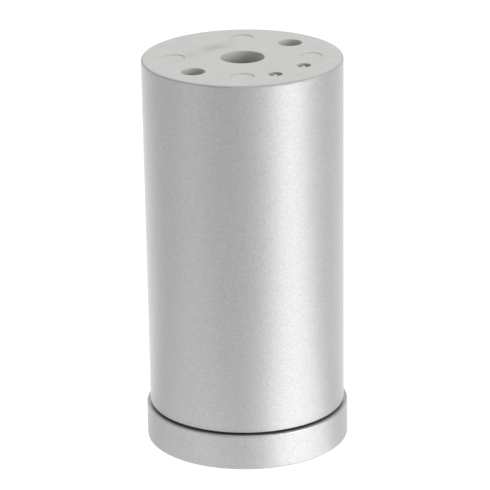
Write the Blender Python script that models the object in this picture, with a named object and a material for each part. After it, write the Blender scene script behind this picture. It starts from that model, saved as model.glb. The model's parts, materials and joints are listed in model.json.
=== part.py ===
"""Round furniture leg with an adjustable foot.

A moulded shell, closed by a drilled mounting plate, stands on a cup-shaped foot. A hex-head
screw fixed in the foot winds in a nut, and a carrier inside the shell's mouth holds that nut.
The leg stands on z = 0, centred on the Z axis, with its foot wound right in.
"""

import math

import bmesh
import bpy
from mathutils import Matrix, Vector

MM = 0.001

# Clearances
FIT_GAP = 0.1 * MM          # between two pieces that are pressed or seated together
RUN_GAP = 0.25 * MM         # between two pieces that turn in each other
OVERLAP = 1.0 * MM          # how far joined shapes reach into each other
BREAKOUT = 2.0 * MM         # how far a cutter runs past the face it opens

# Leg and shell
LEG_HEIGHT = 100.0 * MM     # floor to mounting face
SHELL_RADIUS = 25.0 * MM    # at the mounting face
SHELL_DRAFT_DEG = 0.2       # the shell narrows downwards
SHELL_WALL = 2.4 * MM       # at the lower edge
SHELL_EDGE = 0.5 * MM       # radius round the mounting face
MOUTH_BEVEL = 0.4 * MM      # at the lower edge
PLATE_THICKNESS = 3.5 * MM
SHADOW_GAP = 0.4 * MM       # between the foot and the shell's lower edge

# Features of the mounting plate, on one pitch circle
PITCH_INSET = 8.0 * MM      # from the shell's side to the pitch circle
CENTRE_HOLE_RADIUS = 5.5 * MM
SCREW_HOLE_RADIUS = 3.0 * MM
SCREW_HOLE_ANGLES = (45.0, 225.0)
GATE_WELL_RADIUS = 1.75 * MM
GATE_WELL_DEPTH = 1.8 * MM
GATE_NUB_RADIUS = 0.65 * MM
GATE_NUB_SUNK = 0.3 * MM    # the nub's top, below the mounting face
GATE_WELL_ANGLES = (-28.0, -62.0)
PIN_MARK_RADIUS = 3.0 * MM
PIN_MARK_DEPTH = 0.15 * MM
PIN_MARK_ANGLES = (0.0, 90.0, 180.0, 270.0)

# Ribs and bosses inside the shell
RIB_THICKNESS = 1.6 * MM
GUSSET_THICKNESS = 1.44 * MM
WALL_RIB_DEPTH = 3.2 * MM
WALL_RIB_ANGLES = (0.0, 90.0, 180.0, 270.0)
COLUMN_ANGLES = (135.0, 315.0)
COLUMN_RADIUS = 3.4 * MM
COLUMN_LENGTH = 22.0 * MM
HEAD_RING_RADIUS = 10.2 * MM  # inside of the ring round the centre hole
HEAD_RING_WALL = 1.8 * MM
HEAD_RING_DEPTH = 8.0 * MM
SCREW_BOSS_RADIUS = 4.4 * MM
SCREW_BOSS_DEPTH = 5.0 * MM

# Thread, shared by the spindle and its nut
THREAD_RADIUS = 5.0 * MM
THREAD_PITCH = 1.5 * MM
THREAD_GAP = 0.1 * MM       # each side of the nominal profile
CREST_FLAT = 0.125          # share of the pitch
BORE_SHARE = 0.625          # of the sharp depth, from the crest to the nut's bore
FLANK_DEG = 30.0
TRAVEL = 15.0 * MM
SPINDLE_SPARE = 3.5 * MM    # thread above the carrier with the foot wound right out

# Hexagons
HEX_FLATS = 17.0 * MM       # across the flats of the head and of the nut
HEAD_HEIGHT = 6.4 * MM
NUT_HEIGHT = 8.0 * MM
HEX_CHAMFER = 0.8 * MM
HEX_CHAMFER_DEG = 30.0
HALF_FLAT_DEG = 30.0        # from a corner to the middle of a flat

# Foot
GLIDE_INSET = 4.6 * MM      # from the cup's side to the glide's
GLIDE_PROUD = 0.3 * MM      # the glide stands this far below the cup
GLIDE_FLANGE = 1.0 * MM     # thickness and reach of the flange that the cup's lip holds
LIP_HEIGHT = 0.5 * MM
CUP_PROUD = 0.9 * MM        # beyond the shell's lower edge
CUP_TOP = 9.4 * MM
CUP_WALL = 2.2 * MM
CUP_FLOOR = 1.5 * MM
CUP_EDGE = 0.4 * MM
CUP_FOOT_ARC_DEG = 60.0     # of the rounding at the cup's lower edge
CORE_SUNK = 0.8 * MM        # the core's rim, below the cup's
CORE_CAP = 1.2 * MM         # over the screw's head
CORE_WEB = 1.8 * MM
CORE_RIBS = 8

# Carrier, nut retainer and screws
CARRIER_CLEARANCE = 0.8 * MM  # over the core, with the foot wound in
CARRIER_SKIRT = 2.0 * MM
CARRIER_WEB = 2.4 * MM
CARRIER_COLLAR = 2.2 * MM   # hub above the web
CARRIER_RIB_ANGLES = (0.0, 90.0, 180.0, 270.0, 112.5, 157.5, 292.5, 337.5)
HUB_WALL = 2.2 * MM
RETAINER_THICKNESS = 1.2 * MM
RETAINER_LAP = 0.8 * MM     # beyond the nut's corners
DRIVER_WINDOW_RADIUS = 5.5 * MM
SELF_TAPPER_RADIUS = 1.4 * MM
SELF_TAPPER_LENGTH = 12.0 * MM
SELF_TAPPER_HEAD_RADIUS = 2.8 * MM
SELF_TAPPER_HEAD = 2.0 * MM
HEAD_CROWN = ((0.6, 0.0), (0.92, 0.3), (1.0, 0.7))  # shares of the head's radius and height
DRIVE_RECESS_RADIUS = 1.1 * MM
DRIVE_RECESS_DEPTH = 1.1 * MM

# Roundness
FINE = 72                   # sides of the large round pieces
MEDIUM = 36
SMALL = 20
THREAD_STEPS = 16           # sides of one turn of thread

# Heights of the foot's stack, from the floor up
GLIDE_STEP = GLIDE_PROUD + LIP_HEIGHT + FIT_GAP
GLIDE_TOP = GLIDE_STEP + GLIDE_FLANGE
CUP_FLOOR_LOW = GLIDE_TOP + RUN_GAP
CUP_FLOOR_TOP = CUP_FLOOR_LOW + CUP_FLOOR
HEAD_LOW = CUP_FLOOR_TOP + FIT_GAP
HEAD_TOP = HEAD_LOW + HEAD_HEIGHT
CORE_RIM = CUP_TOP - CORE_SUNK
CORE_TOP = HEAD_TOP + FIT_GAP + CORE_CAP

# Heights of the carrier's stack
SHELL_LOW = CUP_TOP + SHADOW_GAP
PLATE_LOW = LEG_HEIGHT - PLATE_THICKNESS
CARRIER_LOW = max(CORE_TOP + CARRIER_CLEARANCE, SHELL_LOW + MOUTH_BEVEL)
RETAINER_LOW = CARRIER_LOW + FIT_GAP
NUT_LOW = RETAINER_LOW + RETAINER_THICKNESS + FIT_GAP
NUT_TOP = NUT_LOW + NUT_HEIGHT
POCKET_TOP = NUT_TOP + FIT_GAP
CARRIER_WEB_TOP = POCKET_TOP + CARRIER_WEB
CARRIER_TOP = CARRIER_WEB_TOP + CARRIER_COLLAR
SPINDLE_TOP = CARRIER_TOP + TRAVEL + SPINDLE_SPARE

# Radii that several pieces share
PITCH_RADIUS = SHELL_RADIUS - PITCH_INSET
SHELL_FOOT_RADIUS = SHELL_RADIUS - math.tan(math.radians(SHELL_DRAFT_DEG)) * (LEG_HEIGHT - SHELL_LOW)
SHELL_BORE = SHELL_FOOT_RADIUS - SHELL_WALL
CARRIER_RADIUS = SHELL_BORE - FIT_GAP
CUP_RADIUS = SHELL_FOOT_RADIUS + CUP_PROUD
GLIDE_RADIUS = CUP_RADIUS - GLIDE_INSET
CORE_RADIUS = CUP_RADIUS - CUP_WALL - FIT_GAP
HEX_CORNER = HEX_FLATS / math.sqrt(3.0)
HUB_RADIUS = HEX_CORNER + FIT_GAP + HUB_WALL
COLLAR_RADIUS = min(HUB_RADIUS, PITCH_RADIUS - COLUMN_RADIUS - FIT_GAP)  # clear of the columns
CARRIER_BORE = max(CARRIER_RADIUS - CARRIER_SKIRT, PITCH_RADIUS + SELF_TAPPER_HEAD_RADIUS + FIT_GAP)
SPINDLE_BORE = THREAD_RADIUS + RUN_GAP
SHARP_DEPTH = THREAD_PITCH * math.cos(math.radians(FLANK_DEG))  # of the thread before truncation


# ---------------------------------------------------------------- materials

def finish(name, colour, roughness, metallic=0.0):
    """A Principled material with one colour."""
    material = bpy.data.materials.new(name)
    material.use_nodes = True
    shader = material.node_tree.nodes["Principled BSDF"]
    shader.inputs["Base Color"].default_value = (*colour, 1.0)
    shader.inputs["Roughness"].default_value = roughness
    shader.inputs["Metallic"].default_value = metallic
    material.diffuse_color = (*colour, 1.0)
    return material


def make_finishes():
    return {
        "silver_lacquer": finish("silver_lacquer", (0.62, 0.63, 0.62), 0.35, 0.8),
        "black_nylon": finish("black_nylon", (0.03, 0.03, 0.032), 0.5),
        "zinc_steel": finish("zinc_steel", (0.60, 0.61, 0.62), 0.3, 1.0),
        "white_acetal": finish("white_acetal", (0.80, 0.79, 0.75), 0.45),
    }


# ---------------------------------------------------------------- shapes

def place(angle_deg, radius=PITCH_RADIUS, z=0.0):
    """The point at an angle and a radius round the leg's axis."""
    angle = math.radians(angle_deg)
    return Vector((radius * math.cos(angle), radius * math.sin(angle), z))


def quarter(centre_r, centre_z, radius, start_deg, end_deg, steps=3):
    """Points of an arc in the (r, z) plane, both ends included."""
    return [
        (
            centre_r + radius * math.cos(math.radians(start_deg + (end_deg - start_deg) * i / steps)),
            centre_z + radius * math.sin(math.radians(start_deg + (end_deg - start_deg) * i / steps)),
        )
        for i in range(steps + 1)
    ]


def turned(bm, profile, sides, centre=(0.0, 0.0, 0.0)):
    """Adds the solid that a closed (r, z) outline sweeps round a vertical line through centre."""
    own = bmesh.new()
    made = [own.verts.new((r, 0.0, z)) for r, z in profile]
    for i in range(len(made)):
        if profile[i - 1][0] > 0.0 or profile[i][0] > 0.0:
            own.edges.new((made[i - 1], made[i]))
    bmesh.ops.spin(
        own, geom=own.verts[:] + own.edges[:], cent=(0, 0, 0), axis=(0, 0, 1),
        angle=math.tau, steps=sides, use_merge=True,
    )
    bmesh.ops.remove_doubles(own, verts=own.verts, dist=1e-7)
    own.normal_update()
    flat_centres = [
        v for v in own.verts
        if v.co.xy.length < 1e-9 and all(abs(f.normal.z) > 0.999999 for f in v.link_faces)
    ]
    bmesh.ops.dissolve_verts(own, verts=flat_centres)
    bmesh.ops.translate(own, verts=own.verts, vec=centre)
    add(bm, own)


def add(bm, own):
    """Moves everything from one bmesh into another."""
    mesh = bpy.data.meshes.new("shape")
    own.to_mesh(mesh)
    own.free()
    bm.from_mesh(mesh)
    bpy.data.meshes.remove(mesh)


def post(bm, centre, radius, low, high, sides=SMALL):
    """Adds an upright round bar."""
    bar = bmesh.ops.create_cone(
        bm, cap_ends=True, segments=sides, radius1=radius, radius2=radius, depth=high - low
    )
    bmesh.ops.translate(bm, verts=bar["verts"], vec=(centre[0], centre[1], (low + high) / 2))


def radial_bar(bm, angle_deg, inner, outer, low, high, thickness=RIB_THICKNESS):
    """Adds an upright wall that runs outwards from the leg's axis."""
    size = Matrix.Diagonal((outer - inner, thickness, high - low, 1.0))
    shift = Matrix.Translation(((inner + outer) / 2, 0.0, (low + high) / 2))
    turn = Matrix.Rotation(math.radians(angle_deg), 4, "Z")
    bmesh.ops.create_cube(bm, size=1.0, matrix=turn @ shift @ size)


def hexagon(bm, flats, low, high):
    """Adds an upright hexagonal bar on the leg's axis, two of its flats facing the driver windows."""
    turn = Matrix.Rotation(math.radians(SCREW_HOLE_ANGLES[0] + HALF_FLAT_DEG), 4, "Z")
    corner = flats / math.sqrt(3.0)
    bmesh.ops.create_cone(
        bm, cap_ends=True, segments=6, radius1=corner, radius2=corner, depth=high - low,
        matrix=Matrix.Translation((0, 0, (low + high) / 2)) @ turn,
    )


def chamfered_blank(bm, low, high, chamfer_low, chamfer_high):
    """Adds the turned blank that rounds the corners of a hexagon."""
    full = HEX_CORNER + FIT_GAP
    flat = HEX_FLATS / 2 - FIT_GAP
    rise = (full - flat) * math.tan(math.radians(HEX_CHAMFER_DEG))
    outline = [(0.0, low)]
    outline += [(flat, low), (full, low + rise)] if chamfer_low else [(full, low)]
    outline += [(full, high - rise), (flat, high)] if chamfer_high else [(full, high)]
    outline += [(0.0, high)]
    turned(bm, outline, SMALL * 2)


def helix(bm, crest, low, high):
    """Adds a closed bar with a right-hand thread, a little longer at each end than asked.

    A point of each turn's root lies at angle 0 and z = HEAD_TOP, so every bar is in step.
    """
    root = crest - SHARP_DEPTH * (1.0 - CREST_FLAT)
    start = HEAD_TOP + math.floor((low - HEAD_TOP) / THREAD_PITCH - 1) * THREAD_PITCH
    steps = math.ceil((high - start) / THREAD_PITCH) * THREAD_STEPS

    def strand(radius, lift, count):
        made = []
        for k in range(count + 1):
            angle = math.tau * k / THREAD_STEPS
            z = start + THREAD_PITCH * (k / THREAD_STEPS + lift)
            made.append(bm.verts.new((radius * math.cos(angle), radius * math.sin(angle), z)))
        return made

    roots = strand(root, 0.0, steps + THREAD_STEPS)
    crest_low = strand(crest, (1.0 - CREST_FLAT) / 2, steps)
    crest_high = strand(crest, (1.0 + CREST_FLAT) / 2, steps)
    for below, above in ((roots, crest_low), (crest_low, crest_high), (crest_high, roots[THREAD_STEPS:])):
        for k in range(steps):
            bm.faces.new((below[k], below[k + 1], above[k + 1], above[k]))
    for first, tip_z in ((0, start - THREAD_PITCH), (steps, high + 2 * THREAD_PITCH)):
        tip = bm.verts.new((0.0, 0.0, tip_z))
        rim = roots[first:first + THREAD_STEPS + 1]
        bm.faces.new((rim[0], crest_low[first], crest_high[first], rim[-1]))
        bm.faces.new((tip, rim[0], rim[-1]))
        for a, b in zip(rim, rim[1:]):
            bm.faces.new((tip, a, b))


# ---------------------------------------------------------------- objects

def solid(name, build, material=None, smooth_deg=35.0):
    """An object whose mesh the function build adds to an empty bmesh."""
    bm = bmesh.new()
    build(bm)
    bmesh.ops.recalc_face_normals(bm, faces=bm.faces)
    mesh = bpy.data.meshes.new(name)
    bm.to_mesh(mesh)
    bm.free()
    mesh.shade_smooth()
    mesh.set_sharp_from_angle(angle=math.radians(smooth_deg))
    made = bpy.data.objects.new(name, mesh)
    bpy.context.scene.collection.objects.link(made)
    if material:
        mesh.materials.append(material)
    return made


def combine(target, operation, name, build):
    """Cuts target with, joins it to, or trims it by a hidden helper that build makes."""
    helper = solid(name, build)
    helper.hide_render = True
    helper.display_type = "WIRE"
    step = target.modifiers.new(name, "BOOLEAN")
    step.operation = operation
    step.object = helper
    step.solver = "EXACT"
    return helper


def child_of(parent, *objects):
    for made in objects:
        made.parent = parent


def holder(name, location):
    """An empty that stands for a moving group, on its joint's axis."""
    empty = bpy.data.objects.new(name, None)
    empty.location = location
    bpy.context.scene.collection.objects.link(empty)
    return empty


# ---------------------------------------------------------------- leg group

def shell_outline():
    """Outer side, rounded rim, mounting face, and the bore up to the plate's underside."""
    rim = quarter(SHELL_RADIUS - SHELL_EDGE, LEG_HEIGHT - SHELL_EDGE, SHELL_EDGE, 0.0, 90.0)
    return [
        (SHELL_BORE + MOUTH_BEVEL, SHELL_LOW),
        (SHELL_FOOT_RADIUS - MOUTH_BEVEL / 2, SHELL_LOW),
        (SHELL_FOOT_RADIUS, SHELL_LOW + MOUTH_BEVEL / 2),
        *rim,
        (0.0, LEG_HEIGHT),
        (0.0, PLATE_LOW),
        (SHELL_BORE, PLATE_LOW),
        (SHELL_BORE, SHELL_LOW + MOUTH_BEVEL),
    ]


def leg_shell(finishes):
    shell = solid("leg_shell", lambda bm: turned(bm, shell_outline(), FINE), finishes["silver_lacquer"])
    rib_low = CARRIER_WEB_TOP + FIT_GAP
    ring_outer = HEAD_RING_RADIUS + HEAD_RING_WALL
    ring_low = PLATE_LOW - HEAD_RING_DEPTH

    def head_ring(bm):
        turned(bm, [
            (HEAD_RING_RADIUS, ring_low), (ring_outer, ring_low),
            (ring_outer, PLATE_LOW + OVERLAP), (HEAD_RING_RADIUS, PLATE_LOW + OVERLAP),
        ], MEDIUM)

    def wall_ribs(bm):
        for angle in WALL_RIB_ANGLES:
            radial_bar(bm, angle, SHELL_BORE - WALL_RIB_DEPTH, SHELL_BORE + OVERLAP,
                       rib_low, PLATE_LOW + OVERLAP)

    def gussets(bm):
        for angle in WALL_RIB_ANGLES + COLUMN_ANGLES:
            radial_bar(bm, angle, ring_outer - OVERLAP, SHELL_BORE + OVERLAP / 2,
                       ring_low + OVERLAP, PLATE_LOW + OVERLAP / 2, GUSSET_THICKNESS)

    def screw_bosses(bm):
        for angle in SCREW_HOLE_ANGLES:
            post(bm, place(angle), SCREW_BOSS_RADIUS, PLATE_LOW - SCREW_BOSS_DEPTH,
                 PLATE_LOW + OVERLAP, MEDIUM)

    def columns(bm):
        for angle in COLUMN_ANGLES:
            post(bm, place(angle), COLUMN_RADIUS, rib_low, rib_low + COLUMN_LENGTH)

    def column_webs(bm):
        for angle in COLUMN_ANGLES:
            radial_bar(bm, angle, PITCH_RADIUS, SHELL_BORE + OVERLAP,
                       rib_low + OVERLAP, rib_low + COLUMN_LENGTH - OVERLAP)

    def holes(bm):
        post(bm, (0, 0), CENTRE_HOLE_RADIUS, PLATE_LOW - BREAKOUT, LEG_HEIGHT + BREAKOUT, MEDIUM)
        for angle in SCREW_HOLE_ANGLES:
            post(bm, place(angle), SCREW_HOLE_RADIUS, PLATE_LOW - SCREW_BOSS_DEPTH - BREAKOUT,
                 LEG_HEIGHT + BREAKOUT)
        for angle in COLUMN_ANGLES:
            post(bm, place(angle), SELF_TAPPER_RADIUS + FIT_GAP, rib_low - BREAKOUT,
                 rib_low + SELF_TAPPER_LENGTH + BREAKOUT)
        for angle in PIN_MARK_ANGLES:
            post(bm, place(angle), PIN_MARK_RADIUS, LEG_HEIGHT - PIN_MARK_DEPTH, LEG_HEIGHT + BREAKOUT)
        for angle in GATE_WELL_ANGLES:
            turned(bm, [
                (0.0, -GATE_NUB_SUNK), (GATE_NUB_RADIUS, -GATE_NUB_SUNK),
                (GATE_NUB_RADIUS, -GATE_WELL_DEPTH), (GATE_WELL_RADIUS, -GATE_WELL_DEPTH),
                (GATE_WELL_RADIUS, BREAKOUT), (0.0, BREAKOUT),
            ], SMALL, place(angle, z=LEG_HEIGHT))

    combine(shell, "UNION", "head_ring_shape", head_ring)
    combine(shell, "UNION", "wall_rib_shapes", wall_ribs)
    combine(shell, "UNION", "gusset_shapes", gussets)
    combine(shell, "UNION", "screw_boss_shapes", screw_bosses)
    combine(shell, "UNION", "column_shapes", columns)
    combine(shell, "UNION", "column_web_shapes", column_webs)
    combine(shell, "DIFFERENCE", "shell_holes", holes)
    return shell


def spindle_carrier(finishes):
    """The moulding in the shell's mouth: skirt, web and hub, notched where a screwdriver passes."""
    outline = [
        (HUB_RADIUS, CARRIER_LOW), (HUB_RADIUS, POCKET_TOP), (CARRIER_BORE, POCKET_TOP),
        (CARRIER_BORE, CARRIER_LOW), (CARRIER_RADIUS - FIT_GAP, CARRIER_LOW),
        (CARRIER_RADIUS, CARRIER_LOW + MOUTH_BEVEL), (CARRIER_RADIUS, CARRIER_WEB_TOP),
        (COLLAR_RADIUS, CARRIER_WEB_TOP), (COLLAR_RADIUS, CARRIER_TOP), (0.0, CARRIER_TOP),
        (0.0, CARRIER_LOW),
    ]
    carrier = solid("spindle_carrier", lambda bm: turned(bm, outline, FINE), finishes["black_nylon"])

    def ribs(bm):
        for angle in CARRIER_RIB_ANGLES:
            radial_bar(bm, angle, HUB_RADIUS - OVERLAP, CARRIER_BORE + OVERLAP,
                       CARRIER_LOW + OVERLAP, POCKET_TOP + OVERLAP)

    def nut_pocket(bm):
        hexagon(bm, HEX_FLATS + 2 * FIT_GAP, CARRIER_LOW - BREAKOUT, POCKET_TOP)

    def openings(bm):
        post(bm, (0, 0), SPINDLE_BORE, POCKET_TOP - BREAKOUT, CARRIER_TOP + BREAKOUT)
        for angle in SCREW_HOLE_ANGLES:
            post(bm, place(angle), DRIVER_WINDOW_RADIUS, CARRIER_LOW - BREAKOUT,
                 CARRIER_TOP + BREAKOUT, MEDIUM)
        for angle in COLUMN_ANGLES:
            post(bm, place(angle), SELF_TAPPER_RADIUS + RUN_GAP, POCKET_TOP - BREAKOUT,
                 CARRIER_WEB_TOP + BREAKOUT)

    def retainer_seat(bm):
        post(bm, (0, 0), HEX_CORNER + RETAINER_LAP + FIT_GAP, CARRIER_LOW - BREAKOUT, NUT_LOW, MEDIUM)

    combine(carrier, "UNION", "carrier_rib_shapes", ribs)
    combine(carrier, "DIFFERENCE", "nut_pocket_shape", nut_pocket)
    combine(carrier, "DIFFERENCE", "retainer_seat_shape", retainer_seat)
    combine(carrier, "DIFFERENCE", "carrier_openings", openings)
    return carrier


def spindle_nut(finishes):
    nut = solid("spindle_nut", lambda bm: hexagon(bm, HEX_FLATS, NUT_LOW, NUT_TOP),
                finishes["zinc_steel"])
    crest = THREAD_RADIUS + THREAD_GAP
    bore = crest - SHARP_DEPTH * BORE_SHARE
    combine(nut, "INTERSECT", "nut_blank", lambda bm: chamfered_blank(bm, NUT_LOW, NUT_TOP, True, True))
    combine(nut, "DIFFERENCE", "nut_bore",
            lambda bm: post(bm, (0, 0), bore, NUT_LOW - BREAKOUT, NUT_TOP + BREAKOUT, THREAD_STEPS))
    combine(nut, "DIFFERENCE", "nut_thread",
            lambda bm: helix(bm, crest, NUT_LOW - BREAKOUT, NUT_TOP + BREAKOUT))
    return nut


def nut_retainer(finishes):
    high = RETAINER_LOW + RETAINER_THICKNESS
    outer = HEX_CORNER + RETAINER_LAP
    return solid("nut_retainer", lambda bm: turned(bm, [
        (SPINDLE_BORE, RETAINER_LOW), (outer - FIT_GAP, RETAINER_LOW),
        (outer, RETAINER_LOW + FIT_GAP), (outer, high), (SPINDLE_BORE, high),
    ], MEDIUM), finishes["black_nylon"])


def carrier_screws(finishes):
    """Two self-tapping screws, which run up through the carrier's web into the shell's columns."""
    seat = POCKET_TOP - FIT_GAP
    low = seat - SELF_TAPPER_HEAD
    tip = seat + SELF_TAPPER_LENGTH
    outline = [
        (0.0, low + DRIVE_RECESS_DEPTH), (DRIVE_RECESS_RADIUS, low + DRIVE_RECESS_DEPTH),
        (DRIVE_RECESS_RADIUS, low),
        *((SELF_TAPPER_HEAD_RADIUS * r, low + SELF_TAPPER_HEAD * z) for r, z in HEAD_CROWN),
        (SELF_TAPPER_HEAD_RADIUS, seat), (SELF_TAPPER_RADIUS, seat),
        (SELF_TAPPER_RADIUS, tip - 2 * SELF_TAPPER_RADIUS), (0.0, tip),
    ]
    return [
        solid(
            f"carrier_screw_{i + 1}", lambda bm: turned(bm, outline, SMALL, place(angle)),
            finishes["zinc_steel"],
        )
        for i, angle in enumerate(COLUMN_ANGLES)
    ]


# ---------------------------------------------------------------- foot group

def spindle(finishes):
    """The hex-head screw. A turned blank trims both ends of its thread."""
    crest = THREAD_RADIUS - THREAD_GAP
    clear = crest + OVERLAP
    blank = [
        (0.0, HEAD_TOP - OVERLAP), (clear, HEAD_TOP - OVERLAP),
        (clear, SPINDLE_TOP - HEX_CHAMFER - OVERLAP),
        (crest - HEX_CHAMFER, SPINDLE_TOP), (0.0, SPINDLE_TOP),
    ]
    screw = solid("spindle", lambda bm: helix(bm, crest, HEAD_TOP - OVERLAP, SPINDLE_TOP),
                  finishes["zinc_steel"])
    combine(screw, "INTERSECT", "spindle_blank", lambda bm: turned(bm, blank, THREAD_STEPS))
    head = combine(screw, "UNION", "spindle_head", lambda bm: hexagon(bm, HEX_FLATS, HEAD_LOW, HEAD_TOP))
    combine(head, "INTERSECT", "head_blank",
            lambda bm: chamfered_blank(bm, HEAD_LOW, HEAD_TOP, True, False))
    return screw


def foot_cup(finishes):
    """The visible ring of the foot, with a floor over the glide and a lip that holds the glide in."""
    pocket = GLIDE_RADIUS + GLIDE_FLANGE + RUN_GAP
    lip = GLIDE_RADIUS + RUN_GAP
    bore = CUP_RADIUS - CUP_WALL
    return solid("foot_cup", lambda bm: turned(bm, [
        (lip, GLIDE_PROUD),
        (CUP_RADIUS - CUP_EDGE, GLIDE_PROUD),
        *quarter(CUP_RADIUS - CUP_EDGE, GLIDE_PROUD + CUP_EDGE, CUP_EDGE, -CUP_FOOT_ARC_DEG, 0.0, 2),
        *quarter(CUP_RADIUS - CUP_EDGE, CUP_TOP - CUP_EDGE, CUP_EDGE, 0.0, 90.0),
        (bore, CUP_TOP), (bore, CUP_FLOOR_TOP), (0.0, CUP_FLOOR_TOP), (0.0, CUP_FLOOR_LOW),
        (pocket, CUP_FLOOR_LOW), (pocket, GLIDE_PROUD + LIP_HEIGHT), (lip, GLIDE_PROUD + LIP_HEIGHT),
    ], FINE), finishes["silver_lacquer"])


def foot_core(finishes):
    """The ribbed moulding inside the cup, which grips the screw's head and holds it down."""
    low = CUP_FLOOR_TOP + FIT_GAP
    skirt_inner = CORE_RADIUS - CORE_WEB
    outline = [
        (HUB_RADIUS, low), (HUB_RADIUS, CORE_RIM - CORE_WEB), (skirt_inner, CORE_RIM - CORE_WEB),
        (skirt_inner, low), (CORE_RADIUS, low), (CORE_RADIUS, CORE_RIM), (HUB_RADIUS, CORE_RIM),
        (HUB_RADIUS, CORE_TOP - HEX_CHAMFER), (HUB_RADIUS - HEX_CHAMFER, CORE_TOP),
        (0.0, CORE_TOP), (0.0, low),
    ]
    core = solid("foot_core", lambda bm: turned(bm, outline, FINE), finishes["black_nylon"])

    def ribs(bm):
        for i in range(CORE_RIBS):
            radial_bar(bm, 360.0 * i / CORE_RIBS, HUB_RADIUS - OVERLAP, skirt_inner + OVERLAP / 2,
                       low + FIT_GAP, CORE_RIM - CORE_WEB / 2)

    combine(core, "UNION", "core_rib_shapes", ribs)
    combine(core, "DIFFERENCE", "head_pocket_shape",
            lambda bm: hexagon(bm, HEX_FLATS + 2 * FIT_GAP, low - BREAKOUT, HEAD_TOP + FIT_GAP))
    combine(core, "DIFFERENCE", "core_bore",
            lambda bm: post(bm, (0, 0), SPINDLE_BORE, HEAD_TOP - OVERLAP, CORE_TOP + BREAKOUT))
    return core


def glide_disc(finishes):
    """The plastic disc under the cup. It stays still on the floor while the foot turns."""
    flange = GLIDE_RADIUS + GLIDE_FLANGE
    return solid("glide_disc", lambda bm: turned(bm, [
        (0.0, 0.0), (GLIDE_RADIUS - GLIDE_PROUD, 0.0), (GLIDE_RADIUS, GLIDE_PROUD),
        (GLIDE_RADIUS, GLIDE_STEP), (flange, GLIDE_STEP), (flange, GLIDE_TOP), (0.0, GLIDE_TOP),
    ], FINE), finishes["white_acetal"])


def main():
    for old in list(bpy.data.objects):
        bpy.data.objects.remove(old)
    finishes = make_finishes()
    leg_shell(finishes)
    spindle_carrier(finishes)
    spindle_nut(finishes)
    nut_retainer(finishes)
    carrier_screws(finishes)

    glide = holder("glide_axis", (0.0, 0.0, 0.0))
    foot = holder("foot_axis", (0.0, 0.0, 0.0))
    foot.parent = glide
    child_of(glide, glide_disc(finishes))
    child_of(foot, spindle(finishes), foot_cup(finishes), foot_core(finishes))


main()
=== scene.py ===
# %% [markdown]
# # A silver furniture leg with a levelling foot
#
# A CAD model of the leg is already finished. This notebook gives it its looks: each piece that shows
# gets a smooth mesh, the finishes are built from shader nodes, and a studio is set round the leg.
#
# We start by loading the CAD model. Every position below comes from it.

# %% The CAD model
import json
import math

import bmesh
import bpy
from mathutils import Matrix, Vector


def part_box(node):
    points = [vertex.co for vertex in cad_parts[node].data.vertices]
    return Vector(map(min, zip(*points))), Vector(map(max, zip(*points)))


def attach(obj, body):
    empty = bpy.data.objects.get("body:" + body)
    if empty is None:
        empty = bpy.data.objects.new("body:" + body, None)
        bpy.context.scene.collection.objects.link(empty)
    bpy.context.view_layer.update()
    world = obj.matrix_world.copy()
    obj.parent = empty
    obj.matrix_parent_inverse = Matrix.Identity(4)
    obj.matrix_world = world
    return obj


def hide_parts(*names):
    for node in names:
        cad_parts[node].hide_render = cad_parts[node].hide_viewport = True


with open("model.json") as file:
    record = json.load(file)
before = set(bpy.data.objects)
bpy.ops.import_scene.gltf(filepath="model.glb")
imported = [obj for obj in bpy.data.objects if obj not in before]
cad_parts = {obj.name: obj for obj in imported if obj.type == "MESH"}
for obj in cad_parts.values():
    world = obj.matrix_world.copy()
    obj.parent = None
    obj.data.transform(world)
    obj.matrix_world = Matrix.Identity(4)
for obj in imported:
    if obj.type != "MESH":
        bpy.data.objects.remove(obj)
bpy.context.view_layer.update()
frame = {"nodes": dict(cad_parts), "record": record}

MM = 0.001

# %% [markdown]
# ## Sizes
#
# The CAD nodes' boxes give most sizes. The holes have no box, because a hole isn't a node, but the
# record lists what goes through them, and the middle of such a box is the hole's place.

# %% Sizes from the frame
shell_low, shell_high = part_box("leg_shell")
cup_low, cup_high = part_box("foot_cup")
core_low, core_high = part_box("foot_core")
glide_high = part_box("glide_disc")[1]
spindle_low, spindle_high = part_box("spindle")
carrier_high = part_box("spindle_carrier")[1]
openings = {o["name"]: o["box_m"] for o in frame["record"]["physics"]["openings"]}
TRAVEL = frame["record"]["behaviour"]["joints"][0]["range_m"][1]


def hole_place(name):
    """The middle of a hole in the mounting face."""
    low, high = (Vector(corner) for corner in openings[name])
    return ((low + high) / 2).xy


SCREW_HOLES = [hole_place("screw_hole_1"), hole_place("screw_hole_2")]
PITCH = SCREW_HOLES[0].length
print("pitch circle in mm:", round(PITCH * 2 / MM, 1))

# %% [markdown]
# The side isn't quite a cylinder. It narrows downwards by a fifth of a degree, so that the moulding
# slides out of its mould. The small roundings aren't in the boxes, so they are constants here.

# %% Sizes of the shell
FACE_Z = shell_high.z
SIDE_RADIUS = shell_high.x
SHELL_LOW = shell_low.z
DRAFT = math.radians(0.2)  # the side narrows downwards by this angle
FOOT_OF_SIDE = SIDE_RADIUS - math.tan(DRAFT) * (FACE_Z - SHELL_LOW)
WALL = 2.4 * MM
BORE = FOOT_OF_SIDE - WALL
PLATE_LOW = FACE_Z - 3.5 * MM
RIM = 0.5 * MM  # rounding between face and side
LIP = 0.1 * MM  # rounding of the holes' edges
FLAT = 0.15 * MM  # a narrow flat ring that keeps the shading of a flat face clean
print("side's radius in mm:", round(SIDE_RADIUS / MM, 2), "above,",
      round(FOOT_OF_SIDE / MM, 2), "below")

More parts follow.
